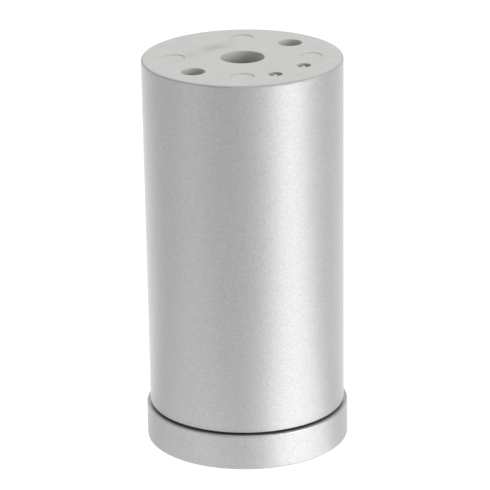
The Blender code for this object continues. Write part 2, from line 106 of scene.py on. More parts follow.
# %% [markdown]
# ## Outlines
#
# Nearly every piece of the leg is round, so it can be drawn as half of a cross-section and then
# turned. Arcs are worked out from a centre, a radius and two angles, so that a rounded edge is
# always tangent to its neighbours.
#
# Smooth shading blends the normals of neighbouring faces, and beside a small rounding it would
# tilt the light over a whole wall. An edge split would crease the rounding. Holding points near
# both ends of a long line keep the blend short instead.

# %% Outlines
def arc(r, z, radius, start, end, steps=6):
    """Points along an arc in the (r, z) plane, from one angle to another, in degrees."""
    points = []
    for i in range(steps + 1):
        angle = math.radians(start + (end - start) * i / steps)
        points.append((r + radius * math.cos(angle), z + radius * math.sin(angle)))
    return points


def held(outline, closed, reach=0.12 * MM):
    """Adds a point close to both ends of each long line, so that only the arcs shade as round."""
    points = []
    for i, (r, z) in enumerate(outline):
        points.append((r, z))
        if i + 1 == len(outline) and not closed:
            break
        next_r, next_z = outline[(i + 1) % len(outline)]
        length = math.hypot(next_r - r, next_z - z)
        if length > 5 * reach:
            for share in (reach / length, 1.0 - reach / length):
                points.append((r + (next_r - r) * share, z + (next_z - z) * share))
    return points


quarter = arc(0.0, 0.0, MM, 0, 90)
print("a quarter circle's points:", len(quarter), "held:", len(held(quarter + [(0.0, 0.0)], True)))

# %% [markdown]
# ## Turning a piece
#
# The outline is spun round the Z axis, as a lathe would. A Screw modifier does the same, but the
# bmesh operator leaves a plain mesh that the next steps can cut and fill. Points are merged where
# the outline meets the axis.

# %% Lathe
ROUND = 256  # steps of a large turned piece


def spin_outline(bm, outline, closed, steps=ROUND):
    """Spins an outline of (r, z) points round the Z axis, inside a bmesh that may hold more."""
    before = set(bm.verts)
    verts = [bm.verts.new((r, 0.0, z)) for r, z in held(outline, closed)]
    pairs = list(zip(verts, verts[1:]))
    if closed:
        pairs.append((verts[-1], verts[0]))
    edges = [bm.edges.new(pair) for pair in pairs]
    bmesh.ops.spin(
        bm, geom=verts + edges, cent=(0, 0, 0), axis=(0, 0, 1), angle=math.tau, steps=steps,
        use_merge=True,
    )
    made = [v for v in bm.verts if v not in before]
    bmesh.ops.remove_doubles(bm, verts=made, dist=1e-7)


print("one step of the lathe in degrees:", round(360 / ROUND, 2))

# %% [markdown]
# A finished bmesh becomes an object at the origin. Its normals are recalculated first, because a
# spin can turn a shape inside out. Shading is smooth, except where two faces meet at more than a
# given angle.


# %% From bmesh to object
def to_object(bm, name, *materials, sharp=32.0):
    """Turns a bmesh into an object at the origin, shaded smooth except over sharp edges."""
    bmesh.ops.recalc_face_normals(bm, faces=bm.faces)
    mesh = bpy.data.meshes.new(name)
    bm.to_mesh(mesh)
    bm.free()
    mesh.shade_smooth()
    mesh.set_sharp_from_angle(angle=math.radians(sharp))
    for material in materials:
        mesh.materials.append(material)
    made = bpy.data.objects.new(name, mesh)
    bpy.context.scene.collection.objects.link(made)
    print(f"{name}: {len(mesh.polygons)} faces")
    return made


def turned(name, outline, material):
    """A turned piece. Its outline starts and ends on the axis."""
    bm = bmesh.new()
    spin_outline(bm, outline, closed=False)
    return to_object(bm, name, material)


# %% [markdown]
# ## Building materials from nodes
#
# Wiring nodes by hand is wordy, so a few short helpers come first. `put` gives an input either a
# number or another node's output, and `add` makes a node with all its inputs.


# %% Node helpers
def put(tree, socket, value):
    """Gives an input a value, or wires another node's output to it."""
    if isinstance(value, bpy.types.NodeSocket):
        tree.links.new(value, socket)
    else:
        socket.default_value = value


def add(tree, kind, inputs=None, **settings):
    """Adds a node with its settings and its inputs."""
    node = tree.nodes.new(kind)
    for name, value in settings.items():
        setattr(node, name, value)
    for name, value in (inputs or {}).items():
        put(tree, node.inputs[name], value)
    return node


print("node helpers:", put.__name__, "and", add.__name__)

# %% [markdown]
# Four kinds of node are used so often that each gets its own helper, which keeps the recipes below
# close to how one would say them.


# %% Kinds of node
def calc(tree, operation, *values):
    """The result of a math node."""
    node = add(tree, "ShaderNodeMath", operation=operation)
    for i, value in enumerate(values):
        put(tree, node.inputs[i], value)
    return node.outputs[0]


def ramp(tree, value, low, high, out_low=0.0, out_high=1.0):
    """A smooth step from out_low to out_high as value goes from low to high."""
    node = add(tree, "ShaderNodeMapRange", {
        "Value": value, "From Min": low, "From Max": high, "To Min": out_low, "To Max": out_high,
    }, interpolation_type="SMOOTHSTEP")
    return node.outputs["Result"]


def scaled(tree, colour, factor):
    """A colour made lighter or darker."""
    node = add(tree, "ShaderNodeVectorMath", {"Scale": factor}, operation="SCALE")
    put(tree, node.inputs[0], colour)
    return node.outputs[0]


def tinted(tree, factor, colour, other):
    """The result of mixing two colours."""
    node = add(tree, "ShaderNodeMix", data_type="RGBA")
    for i, value in ((0, factor), (6, colour), (7, other)):  # the sockets for colours
        put(tree, node.inputs[i], value)
    return node.outputs[2]


print("kinds of node:", ", ".join(kind.__name__ for kind in (calc, ramp, scaled, tinted)))

# %% [markdown]
# An effect that several materials share is a node group: a small tree with named inputs and
# outputs, which are made through the tree's interface. Copying the nodes into every material would
# look the same, but then a change would have to be made in each of them.


# %% Node groups
def start_group(name, inputs, outputs):
    """A node group. inputs gives each socket's kind and default, and outputs only its kind."""
    tree = bpy.data.node_groups.new(name, "ShaderNodeTree")
    for socket_name, (kind, value) in inputs.items():
        socket = tree.interface.new_socket(
            socket_name, in_out="INPUT", socket_type="NodeSocket" + kind)
        if value is not None:
            socket.default_value = value
    for socket_name, kind in outputs.items():
        tree.interface.new_socket(socket_name, in_out="OUTPUT", socket_type="NodeSocket" + kind)
    return tree, tree.nodes.new("NodeGroupInput"), tree.nodes.new("NodeGroupOutput")


def place_group(tree, group, **inputs):
    """Puts a node group into a tree, with a value or a socket for each named input."""
    node = add(tree, "ShaderNodeGroup", node_tree=group)
    for name, value in inputs.items():
        put(tree, node.inputs[name], value)
    return node.outputs


def report(name, tree):
    """Says how large a tree has become."""
    print(f"{name}: {len(tree.nodes)} nodes, {len(tree.links)} links")


print("node groups so far:", len(bpy.data.node_groups))

# %% [markdown]
# ### Fine grain
#
# A sprayed or moulded surface has a small relief. Real grain could be displaced geometry, but it
# is hundredths of a millimetre high, so a noise that feeds a Bump node is enough.


# %% Fine grain
def grain_effect():
    tree, given, out = start_group(
        "fine grain",
        {"Vector": ("Vector", None), "Size": ("Float", 0.001), "Fineness": ("Float", 3.0)},
        {"Height": "Float"},
    )
    scale = calc(tree, "DIVIDE", 1.0, given.outputs["Size"])
    noise = add(tree, "ShaderNodeTexNoise", {
        "Vector": given.outputs["Vector"], "Scale": scale, "Detail": given.outputs["Fineness"],
        "Roughness": 0.55,
    })
    put(tree, out.inputs["Height"], noise.outputs["Fac"])
    return tree


GRAIN = grain_effect()
report(GRAIN.name, GRAIN)

# %% [markdown]
# ### Mottle
#
# No real surface is all one tone. A slow, cloudy noise makes the colour a little lighter or darker
# from place to place, and the same noise is put out as a mask, so that the roughness can change
# with it.


# %% Mottle
def mottle_effect():
    tree, given, out = start_group(
        "mottle",
        {
            "Vector": ("Vector", None), "Colour": ("Color", (0.5, 0.5, 0.5, 1.0)),
            "Size": ("Float", 0.01), "Amount": ("Float", 0.05),
        },
        {"Colour": "Color", "Cloud": "Float"},
    )
    noise = add(tree, "ShaderNodeTexNoise", {
        "Vector": given.outputs["Vector"], "Scale": calc(tree, "DIVIDE", 1.0, given.outputs["Size"]),
        "Detail": 2.5, "Roughness": 0.6,
    })
    cloud = calc(tree, "SUBTRACT", noise.outputs["Fac"], 0.5)
    swing = calc(tree, "MULTIPLY", given.outputs["Amount"], 2.0)
    change = calc(tree, "MULTIPLY_ADD", cloud, swing, 1.0)
    put(tree, out.inputs["Colour"], scaled(tree, given.outputs["Colour"], change))
    put(tree, out.inputs["Cloud"], noise.outputs["Fac"])
    return tree


MOTTLE = mottle_effect()
report(MOTTLE.name, MOTTLE)

# %% [markdown]
# ### Specks
#
# Now and then a grain of dust is caught in the paint. A Voronoi texture scatters points through
# space, and a dot shows only where the surface passes close to one. That gives rare dots of
# different sizes, which a noise can't.


# %% Specks
def specks_effect():
    tree, given, out = start_group(
        "specks",
        {"Vector": ("Vector", None), "Spacing": ("Float", 0.01), "Size": ("Float", 0.0003)},
        {"Mask": "Float"},
    )
    scale = calc(tree, "DIVIDE", 1.0, given.outputs["Spacing"])
    cells = add(tree, "ShaderNodeTexVoronoi", {"Vector": given.outputs["Vector"], "Scale": scale})
    reach = calc(tree, "MULTIPLY", cells.outputs["Distance"], given.outputs["Spacing"])
    dot = ramp(tree, calc(tree, "DIVIDE", reach, given.outputs["Size"]), 0.35, 1.0, 1.0, 0.0)
    put(tree, out.inputs["Mask"], dot)
    return tree


SPECKS = specks_effect()
report(SPECKS.name, SPECKS)

# %% [markdown]
# ### Scuffs
#
# Handling leaves short, faint scratches in all directions. A noise that is squeezed across one
# axis turns into streaks, and three such layers, each turned by its own angle, cross each other as
# real scratches do.

# %% Scuffs
STREAK_SQUEEZE = 24.0  # how many times longer than wide a scratch is


def scuff_effect():
    tree, given, out = start_group(
        "scuffs",
        {"Vector": ("Vector", None), "Length": ("Float", 0.004), "Density": ("Float", 0.3)},
        {"Mask": "Float"},
    )
    layers = []
    for turn in (20.0, 75.0, 140.0):
        lay = add(tree, "ShaderNodeMapping", {
            "Vector": given.outputs["Vector"], "Rotation": (0.0, 0.0, math.radians(turn)),
            "Scale": (1.0, STREAK_SQUEEZE, 1.0),
        })
        streak = add(tree, "ShaderNodeTexNoise", {
            "Vector": lay.outputs[0], "Scale": calc(tree, "DIVIDE", 1.0, given.outputs["Length"]),
            "Detail": 1.0,
        })
        limit = calc(tree, "SUBTRACT", 0.80, calc(tree, "MULTIPLY", given.outputs["Density"], 0.25))
        layers.append(ramp(tree, streak.outputs["Fac"], limit, calc(tree, "ADD", limit, 0.06)))
    both = calc(tree, "MAXIMUM", layers[0], layers[1])
    put(tree, out.inputs["Mask"], calc(tree, "MAXIMUM", both, layers[2]))
    return tree


SCUFFS = scuff_effect()
report(SCUFFS.name, SCUFFS)

# %% [markdown]
# ### Starting a material
#
# Every finish starts the same way: a Principled BSDF and the piece's own Object coordinates, which
# are metres here. A pattern of one millimetre therefore stays one millimetre on every piece.


# %% Material start
def start_material(name, colour, roughness, metallic=0.0):
    """A new material with its tree, its shader and the Object coordinates."""
    material = bpy.data.materials.new(name)
    material.use_nodes = True
    material.diffuse_color = (*colour, 1.0)
    tree = material.node_tree
    shader = tree.nodes["Principled BSDF"]
    put(tree, shader.inputs["Base Color"], (*colour, 1.0))
    put(tree, shader.inputs["Roughness"], roughness)
    put(tree, shader.inputs["Metallic"], metallic)
    where = add(tree, "ShaderNodeTexCoord").outputs["Object"]
    return material, tree, shader, where


def relief(tree, shader, height, depth):
    """Bumps the shader's surface by a height that goes from 0 to 1 over depth metres."""
    bump = add(tree, "ShaderNodeBump", {"Height": height, "Distance": depth})
    put(tree, shader.inputs["Normal"], bump.outputs["Normal"])


def coloured(tree, shader, colour, rough):
    """Wires the colour and the roughness."""
    put(tree, shader.inputs["Base Color"], colour)
    put(tree, shader.inputs["Roughness"], rough)


def mottle(tree, where, tone, size, amount):
    """The mottle effect on a plain colour."""
    return place_group(tree, MOTTLE, Vector=where, Colour=(*tone, 1.0), Size=size, Amount=amount)


def grain(tree, where, size, fineness=3.0):
    """The height of the grain effect."""
    return place_group(tree, GRAIN, Vector=where, Size=size, Fineness=fineness)["Height"]


print("materials so far:", len(bpy.data.materials))

# %% [markdown]
# ### What the lacquer is made of
#
# The side of the leg and the foot's ring are sprayed with silver lacquer: aluminium flakes in a
# satin binder. The flakes lie at slightly different angles, so each one is a little lighter or
# darker than the next. A Voronoi texture has just such cells, each with its own random value.

# %% Flakes and dust
FLAKE = 0.22 * MM


def flake_tone(tree, where, amount):
    """A random shade for each flake, round 1."""
    cells = add(tree, "ShaderNodeTexVoronoi", {"Vector": where, "Scale": 1.0 / FLAKE})
    value = add(tree, "ShaderNodeSeparateColor", {"Color": cells.outputs["Color"]}).outputs[0]
    return calc(tree, "MULTIPLY_ADD", calc(tree, "SUBTRACT", value, 0.5), amount, 1.0)


def dust(tree, where, place):
    """1 on a grain of dust at a given place, and on the rare ones elsewhere."""
    apart = add(tree, "ShaderNodeVectorMath", operation="DISTANCE")
    put(tree, apart.inputs[0], where)
    put(tree, apart.inputs[1], place)
    placed = ramp(tree, apart.outputs["Value"], 0.12 * MM, 0.38 * MM, 1.0, 0.0)
    rare = place_group(tree, SPECKS, Vector=where, Spacing=17 * MM, Size=0.35 * MM)["Mask"]
    return calc(tree, "MAXIMUM", placed, rare)


print("flakes across one millimetre:", round(MM / FLAKE, 1))

# %% [markdown]
# The leg was sprayed standing on a mask that kept the paint off its mounting face. Near the rim
# the spray thins out, and above a wavy line the bare plastic shows, in a darker grey than the face
# that is painted shade on the rim's rounding. A height that a noise shifts up and down gives such a
# line, without any painting by hand.

# %% Edge of the paint
WAVER = 0.3 * MM  # how far the edge wanders up and down


def bare_above(tree, where, edge_z):
    """1 where the spray didn't reach, which is above a wavy line round the rim."""
    place = add(tree, "ShaderNodeSeparateXYZ", {"Vector": where}).outputs
    waver = add(tree, "ShaderNodeTexNoise", {"Vector": where, "Scale": 1 / (3 * MM), "Detail": 3.0})
    side = calc(tree, "MULTIPLY_ADD", place["X"], 0.35 / SIDE_RADIUS,
                calc(tree, "MULTIPLY", place["Y"], -0.9 / SIDE_RADIUS))
    thin = calc(tree, "MULTIPLY", ramp(tree, side, 0.75, 1.0), 0.35 * MM)
    shift = calc(tree, "MULTIPLY_ADD", waver.outputs["Fac"], WAVER, thin)
    line = calc(tree, "ADD", place["Z"], shift)
    middle = edge_z + WAVER / 2  # the noise lifts the line by half of its reach
    return ramp(tree, line, middle - 0.05 * MM, middle + 0.05 * MM)


print("the paint's edge wanders by", round(WAVER / MM, 1), "mm")

# %% [markdown]
# ### Silver lacquer
#
# Lacquer with flakes is metallic and fairly rough, under a thin coat of clear binder. A second,
# slower noise adds the ripple that sprayed paint dries with. A plain grey plastic would be
# simpler, but it would lose the broad bright band that a metallic side shows under a soft light.

# %% Silver lacquer
SILVER = (0.35, 0.3565, 0.35)
# The bare strip at the rim is a darker grey than the mounting face; the difference is painted shade
# on the rim's rounding.
BARE_LIP_SHADED_GREY = (0.27, 0.27, 0.267)
DUST_GREY = (0.22, 0.21, 0.20)
LACQUER_ROUGHNESS = 0.48


def silver_lacquer(name, dust_place, edge_z=None):
    """Silver lacquer over a grain of dust. With edge_z, bare plastic with painted shade shows above
    it.
    """
    material, tree, shader, where = start_material(name, SILVER, LACQUER_ROUGHNESS, 1.0)
    put(tree, shader.inputs["Coat Weight"], 0.5)
    put(tree, shader.inputs["Coat Roughness"], 0.35)
    mottled = mottle(tree, where, SILVER, 9 * MM, 0.025)
    flakes = scaled(tree, mottled["Colour"], flake_tone(tree, where, 0.20))
    nib = dust(tree, where, dust_place)
    colour = tinted(tree, calc(tree, "MULTIPLY", nib, 0.5), flakes, (*DUST_GREY, 1.0))
    rough = calc(tree, "MULTIPLY_ADD", mottled["Cloud"], 0.06, LACQUER_ROUGHNESS - 0.03)
    if edge_z is not None:
        bare = bare_above(tree, where, edge_z)
        # The bare strip gets the darker grey: bare plastic, with painted shade on the rim's
        # rounding.
        colour = tinted(tree, bare, colour, (*BARE_LIP_SHADED_GREY, 1.0))
        rough = calc(tree, "MULTIPLY_ADD", bare, 0.2, rough)
        put(tree, shader.inputs["Metallic"], calc(tree, "SUBTRACT", 1.0, bare))
    coloured(tree, shader, colour, rough)
    ripple = grain(tree, where, 1.1 * MM, 2.0)
    paint = calc(tree, "MULTIPLY_ADD", grain(tree, where, 0.25 * MM, 2.0), 0.35, ripple)
    height = calc(tree, "ADD", paint, calc(tree, "MULTIPLY", nib, 2.0))
    relief(tree, shader, height, 0.014 * MM)
    report(material.name, tree)
    return material


print("silver:", SILVER)

# %% [markdown]
# Two lacquers are made, one for the leg's side with its wavy upper edge, and one for the ring.
# Each has one grain of dust at a chosen place.


# %% Two lacquers
def on_side(azimuth, z):
    """A point of the leg's side. Azimuth 0 faces the camera, and 90 is to its right."""
    angle = math.radians(azimuth)
    return Vector((math.sin(angle) * cup_high.x, -math.cos(angle) * cup_high.x, z))


LACQUER_ON_SHELL = silver_lacquer(
    "silver_lacquer_shell", on_side(-38, FACE_Z - 1.1 * MM), FACE_Z - 0.2 * MM)
LACQUER = silver_lacquer("silver_lacquer", on_side(-50.5, 6.5 * MM))

# %% [markdown]
# ### A smudge on the face
#
# The mounting face has a dull, cloudy band beside its centre hole, where something rubbed on it.
# It is a mask: a strip that fades at its sides and ends, broken up by a noise. The Mapping node
# turns the strip and moves it away from the axis.

# %% Smudge
SMUDGE_FROM_AXIS = 10.6 * MM
SMUDGE_DEG = -49.0


def smudge(tree, where):
    """1 in the middle of a cloudy diagonal band on the mounting face."""
    laid = add(tree, "ShaderNodeMapping", {
        "Vector": where, "Rotation": (0.0, 0.0, math.radians(SMUDGE_DEG)),
        "Location": (0.0, -SMUDGE_FROM_AXIS, 0.0),
    })
    place = add(tree, "ShaderNodeSeparateXYZ", {"Vector": laid.outputs[0]}).outputs
    across = ramp(tree, calc(tree, "ABSOLUTE", place["Y"]), 0.3 * MM, 4 * MM, 1.0, 0.0)
    along = ramp(tree, calc(tree, "ABSOLUTE", place["X"]), 5 * MM, 11 * MM, 1.0, 0.0)
    cloud = add(tree, "ShaderNodeTexNoise", {"Vector": where, "Scale": 1 / (6 * MM), "Detail": 3.0})
    patchy = ramp(tree, cloud.outputs["Fac"], 0.3, 0.7, 0.1, 0.75)
    return calc(tree, "MULTIPLY", calc(tree, "MULTIPLY", across, along), patchy)


print("smudge's middle:", round(SMUDGE_FROM_AXIS / MM, 1), "mm from the axis")

# %% [markdown]
# ### Bare plastic
#
# The mounting face is the plastic as it came out of the mould: light grey, matt, a little cloudy,
# with faint rubs. One recipe makes three materials: for the face, for the inside, and a darker one
# for the walls of the small marks and the insides of the gate wells, which is painted shade.

# %% Bare plastic
BARE_GREY = (0.425, 0.42, 0.408)
# The next grey is painted shade for the walls of the pin marks and the insides of the gate wells.
MARK_SHADE_GREY = (0.35, 0.347, 0.338)
RUBBED_GREY = (0.5, 0.5, 0.49)
SMUDGE_GREY = (0.29, 0.288, 0.28)


def bare_plastic(name, tone, smudged):
    """Bare grey plastic. The mounting face also has a dull smudge beside its centre hole."""
    material, tree, shader, where = start_material(name, tone, 0.5)
    mottled = mottle(tree, where, tone, 4 * MM, 0.11)
    rubbed = place_group(tree, SCUFFS, Vector=where, Length=5 * MM, Density=0.35)["Mask"]
    faint = calc(tree, "MULTIPLY", rubbed, 0.12)
    colour = tinted(tree, faint, mottled["Colour"], (*RUBBED_GREY, 1.0))
    if smudged:
        colour = tinted(tree, smudge(tree, where), colour, (*SMUDGE_GREY, 1.0))
    coloured(tree, shader, colour, calc(tree, "MULTIPLY_ADD", mottled["Cloud"], 0.12, 0.42))
    relief(tree, shader, grain(tree, where, 0.35 * MM), 0.008 * MM)
    report(material.name, tree)
    return material


BARE = bare_plastic("bare_grey_plastic", BARE_GREY, smudged=False)
BARE_FACE = bare_plastic("bare_grey_face", BARE_GREY, smudged=True)
# The darker material is painted shade on the walls of the pin marks and inside the gate wells.
MARK_SHADE = bare_plastic("painted_shade_grey_plastic", MARK_SHADE_GREY, smudged=False)

# %% [markdown]
# ### Black nylon
#
# The core of the foot and the nut's carrier are black nylon, which shows when the foot is wound
# out. It is nearly black, satin, and a little uneven, so mottle and fine grain are all it takes.

# %% Black nylon
NYLON_BLACK = (0.028, 0.028, 0.03)


def black_nylon():
    material, tree, shader, where = start_material("black_nylon", NYLON_BLACK, 0.5)
    mottled = mottle(tree, where, NYLON_BLACK, 6 * MM, 0.2)
    rough = calc(tree, "MULTIPLY_ADD", mottled["Cloud"], 0.2, 0.4)
    coloured(tree, shader, mottled["Colour"], rough)
    relief(tree, shader, grain(tree, where, 0.3 * MM), 0.012 * MM)
    report(material.name, tree)
    return material


NYLON = black_nylon()

# %% [markdown]
# ### Zinc-plated steel
#
# The screw, its nut and the small screws are plated steel. Zinc plating has a faint blue and
# yellow cast, which a slow noise mixes in before the mottle is applied.


# %% Zinc-plated steel
def zinc_steel():
    material, tree, shader, where = start_material("zinc_steel", (0.62, 0.63, 0.64), 0.3, 1.0)
    cast = add(tree, "ShaderNodeTexNoise", {"Vector": where, "Scale": 1 / (6 * MM), "Detail": 2.0})
    hue = tinted(tree, cast.outputs["Fac"], (0.60, 0.63, 0.67, 1.0), (0.68, 0.65, 0.56, 1.0))
    mottled = place_group(tree, MOTTLE, Vector=where, Colour=hue, Size=2 * MM, Amount=0.08)
    rough = calc(tree, "MULTIPLY_ADD", mottled["Cloud"], 0.2, 0.2)
    coloured(tree, shader, mottled["Colour"], rough)
    relief(tree, shader, grain(tree, where, 0.4 * MM), 0.006 * MM)
    report(material.name, tree)
    return material


ZINC = zinc_steel()

# %% [markdown]
# ### White acetal
#
# The glide is off-white acetal, a slippery plastic. It slides on floors, so it gets more and
# longer scuffs than the rest, and they are also a little rougher than the surface round them.

# %% White acetal
ACETAL_WHITE = (0.78, 0.77, 0.73)


def white_acetal():
    material, tree, shader, where = start_material("white_acetal", ACETAL_WHITE, 0.42)
    mottled = mottle(tree, where, ACETAL_WHITE, 8 * MM, 0.04)
    rubbed = place_group(tree, SCUFFS, Vector=where, Length=7 * MM, Density=0.6)["Mask"]
    faint = calc(tree, "MULTIPLY", rubbed, 0.3)
    colour = tinted(tree, faint, mottled["Colour"], (0.5, 0.49, 0.46, 1.0))
    coloured(tree, shader, colour, calc(tree, "MULTIPLY_ADD", rubbed, 0.15, 0.40))
    relief(tree, shader, grain(tree, where, 0.5 * MM, 2.0), 0.008 * MM)
    report(material.name, tree)
    return material


ACETAL = white_acetal()

# %% [markdown]
# ## The shell and its mounting face
#
# The shell is one moulding: a tube closed by a drilled plate. Holes could be cut with booleans,
# but those leave ragged triangles beside a rounded lip. Here every hole starts as a circle on the
# face instead. Extruding its edges again and again, each time to a new radius and height, draws
# its rounded lip, its wall, and the boss round its lower end.

# %% Drawing a hole
HOLE_ROUND = 64  # steps round a small hole


def on_pitch(angle):
    """A point of the pitch circle."""
    return Vector((math.cos(math.radians(angle)), math.sin(math.radians(angle)))) * PITCH


def draw_loop(bm, centre, outline, steps=HOLE_ROUND):
    """Extrudes a circle through (radius, z) points. Returns its first and its last edges."""
    radius, z = outline[0]
    made = bmesh.ops.create_circle(
        bm, cap_ends=False, segments=steps, radius=radius, matrix=Matrix.Translation((*centre, z)))
    first = list({e for v in made["verts"] for e in v.link_edges})
    edges = first
    to_axis = Matrix.Translation((-centre[0], -centre[1], 0.0))
    for next_radius, next_z in outline[1:]:
        grown = bmesh.ops.extrude_edge_only(bm, edges=edges)["geom"]
        verts = [g for g in grown if isinstance(g, bmesh.types.BMVert)]
        fresh = set(verts)
        edges = [
            g for g in grown if isinstance(g, bmesh.types.BMEdge) and fresh.issuperset(g.verts)]
        ratio = next_radius / radius
        bmesh.ops.scale(bm, vec=(ratio, ratio, 1.0), space=to_axis, verts=verts)
        bmesh.ops.translate(bm, vec=(0.0, 0.0, next_z - z), verts=verts)
        radius, z = next_radius, next_z
    return first, edges


print("screw holes in mm:", [[round(side / MM, 1) for side in hole] for hole in SCREW_HOLES])

# %% [markdown]
# ### Holes through the plate
#
# The centre hole takes a bolt, with a ring round its head inside the shell. The two smaller holes
# take screws, and each has a boss that makes it deeper. Their outlines run from the face to the
# plate's underside, so both ends can be joined to the plate later.

# %% Bolt hole and screw holes
BOLT_RADIUS = 5.5 * MM
BOLT_LIP = 0.15 * MM
SCREW_RADIUS = 3.0 * MM
HEAD_RING = (10.2 * MM, 12.0 * MM)  # inner and outer radius of the ring round the bolt's head
HEAD_RING_LOW = PLATE_LOW - 8.0 * MM
BOSS_RADIUS = 4.4 * MM
BOSS_LOW = PLATE_LOW - 5.0 * MM


def lip(radius, rounding=LIP):
    """The start of a hole's outline on the mounting face: a flat ring, then its rounded edge."""
    edge = arc(radius + rounding, FACE_Z - rounding, rounding, 90, 180, 4)
    return [(radius + rounding + FLAT, FACE_Z), *edge]


def bolt_hole(bm):
    """The centre hole and the ring below it."""
    inner, outer = HEAD_RING
    return draw_loop(bm, (0.0, 0.0), [
        *lip(BOLT_RADIUS, BOLT_LIP), (BOLT_RADIUS, PLATE_LOW + LIP), (BOLT_RADIUS + LIP, PLATE_LOW),
        (inner, PLATE_LOW), (inner, HEAD_RING_LOW), (outer, HEAD_RING_LOW),
        (outer, PLATE_LOW - LIP), (outer + LIP, PLATE_LOW),
    ], HOLE_ROUND * 2)


def screw_hole(bm, centre):
    """A smaller hole and its boss."""
    return draw_loop(bm, centre, [
        *lip(SCREW_RADIUS), (SCREW_RADIUS, BOSS_LOW + LIP), (SCREW_RADIUS + LIP, BOSS_LOW),
        (BOSS_RADIUS, BOSS_LOW), (BOSS_RADIUS, PLATE_LOW - LIP), (BOSS_RADIUS + LIP, PLATE_LOW),
    ])


print("holes in mm:", round(BOLT_RADIUS * 2 / MM, 1), "and", round(SCREW_RADIUS * 2 / MM, 1))

# %% [markdown]
# ### Marks of moulding
#
# Four pins pushed the moulding out of its mould, and each left a shallow round dent. Plastic came
# in through two gates, each of which left a small well with a nub in it. A bump could fake both,
# but a real dent keeps its edge from every side.

# %% Pin marks and gate wells
PIN_MARK_RADIUS = 3.0 * MM
PIN_MARK_DEPTH = 0.15 * MM
PIN_MARK_ANGLES = (0, 90, 180, 270)
WELL_RADIUS = 1.75 * MM
WELL_LIP = 0.06 * MM
WELL_DEPTH = 1.8 * MM
WELL_ANGLES = (-28, -62)
NUB_RADIUS = 0.65 * MM
NUB_SUNK = 0.3 * MM
NUB_EDGE = 0.15 * MM


def pin_mark(bm, centre):
    """A shallow round dent. Returns its edges on the face."""
    bottom = FACE_Z - PIN_MARK_DEPTH
    first, last = draw_loop(bm, centre, [
        (PIN_MARK_RADIUS + FLAT, FACE_Z), (PIN_MARK_RADIUS, FACE_Z),
        (PIN_MARK_RADIUS - 0.03 * MM, bottom), (PIN_MARK_RADIUS - FLAT, bottom),
    ])
    bmesh.ops.contextual_create(bm, geom=last)
    return first


def gate_well(bm, centre):
    """A round well with a nub standing in it. Returns its edges on the face."""
    bottom, top = FACE_Z - WELL_DEPTH, FACE_Z - NUB_SUNK
    first, last = draw_loop(bm, centre, [
        *lip(WELL_RADIUS, WELL_LIP), (WELL_RADIUS, bottom), (NUB_RADIUS * 1.15, bottom),
        (NUB_RADIUS, top - NUB_EDGE), (NUB_RADIUS * 0.75, top), (NUB_RADIUS * 0.3, top),
    ], HOLE_ROUND // 2)
    bmesh.ops.contextual_create(bm, geom=last)
    return first


print("marks on the face:", len(PIN_MARK_ANGLES), "pin marks and", len(WELL_ANGLES), "gate wells")

# %% [markdown]
# ### The tube
#
# The tube's outline is left open at both ends, so that turning it leaves two open rings. The
# plate's flat faces can then be filled in from there.

# %% Tube outline
RIM_FILLET = 0.8 * MM
MOUTH = 0.25 * MM  # rounding of the side's lower edge
MOUTH_INSIDE = MOUTH * 1.6


def shell_tube():
    """The shell's outline, from its face down the side, under the wall and up its bore."""
    return [
        (SIDE_RADIUS - RIM - FLAT, FACE_Z),
        *arc(SIDE_RADIUS - RIM, FACE_Z - RIM, RIM, 90, 0, 8),
        *arc(FOOT_OF_SIDE - MOUTH, SHELL_LOW + MOUTH, MOUTH, 0, -90, 4),
        *arc(BORE + MOUTH_INSIDE, SHELL_LOW + MOUTH_INSIDE, MOUTH_INSIDE, -90, -180, 4),
        *arc(BORE - RIM_FILLET, PLATE_LOW - RIM_FILLET, RIM_FILLET, 0, 90, 6),
        (BORE - RIM_FILLET - FLAT, PLATE_LOW),
    ]


def loop_at(bm, radius, z):
    """The open edges of the ring with this radius and height."""
    return [
        e for e in bm.edges
        if e.is_boundary and all(
            abs(v.co.z - z) < 1e-6 and abs(v.co.xy.length - radius) < 1e-5 for v in e.verts)
    ]


print("tube's outline:", len(shell_tube()), "points")

# %% [markdown]
# ### One finish for each face
#
# The shell is one piece of plastic with paint on part of it. Splitting it would leave a seam, so it
# stays one mesh, and each face gets a material by where its middle lies.

# %% Finish of a face
SHELL_FINISHES = (LACQUER_ON_SHELL, BARE_FACE, BARE, MARK_SHADE)


def near_mark(point):
    """Whether a point is on the wall of a pin mark or inside a gate well."""
    marks = [on_pitch(angle) for angle in PIN_MARK_ANGLES]
    wells = [on_pitch(angle) for angle in WELL_ANGLES]
    on_wall = any(abs((point.xy - mark).length - PIN_MARK_RADIUS) < 0.06 * MM for mark in marks)
    in_well = any(
        NUB_RADIUS * 1.2 < (point.xy - well).length < WELL_RADIUS + 0.13 * MM for well in wells)
    return on_wall or in_well


def finish_at(point):
    """The finish that a face with this middle gets, as its place in SHELL_FINISHES."""
    if point.xy.length > FOOT_OF_SIDE - 0.6 * MM and point.z < FACE_Z - 0.02 * MM:
        return 0
    if point.z > FACE_Z - 0.01 * MM:
        return 1
    # Walls of the pin marks and insides of the gate wells get the darker grey, which is painted
    # shade.
    if point.z > FACE_Z - WELL_DEPTH - 0.1 * MM and near_mark(point):
        return 3
    return 2


print("finishes:", [finish.name for finish in SHELL_FINISHES])

# %% [markdown]
# ### Putting the shell together
#
# The plate has two flat faces, each bounded by the tube's ring and by the rings of the holes.
# `triangle_fill` fills the area between nested loops and leaves the holes open. Counting the open
# edges afterwards shows whether the shell is closed.


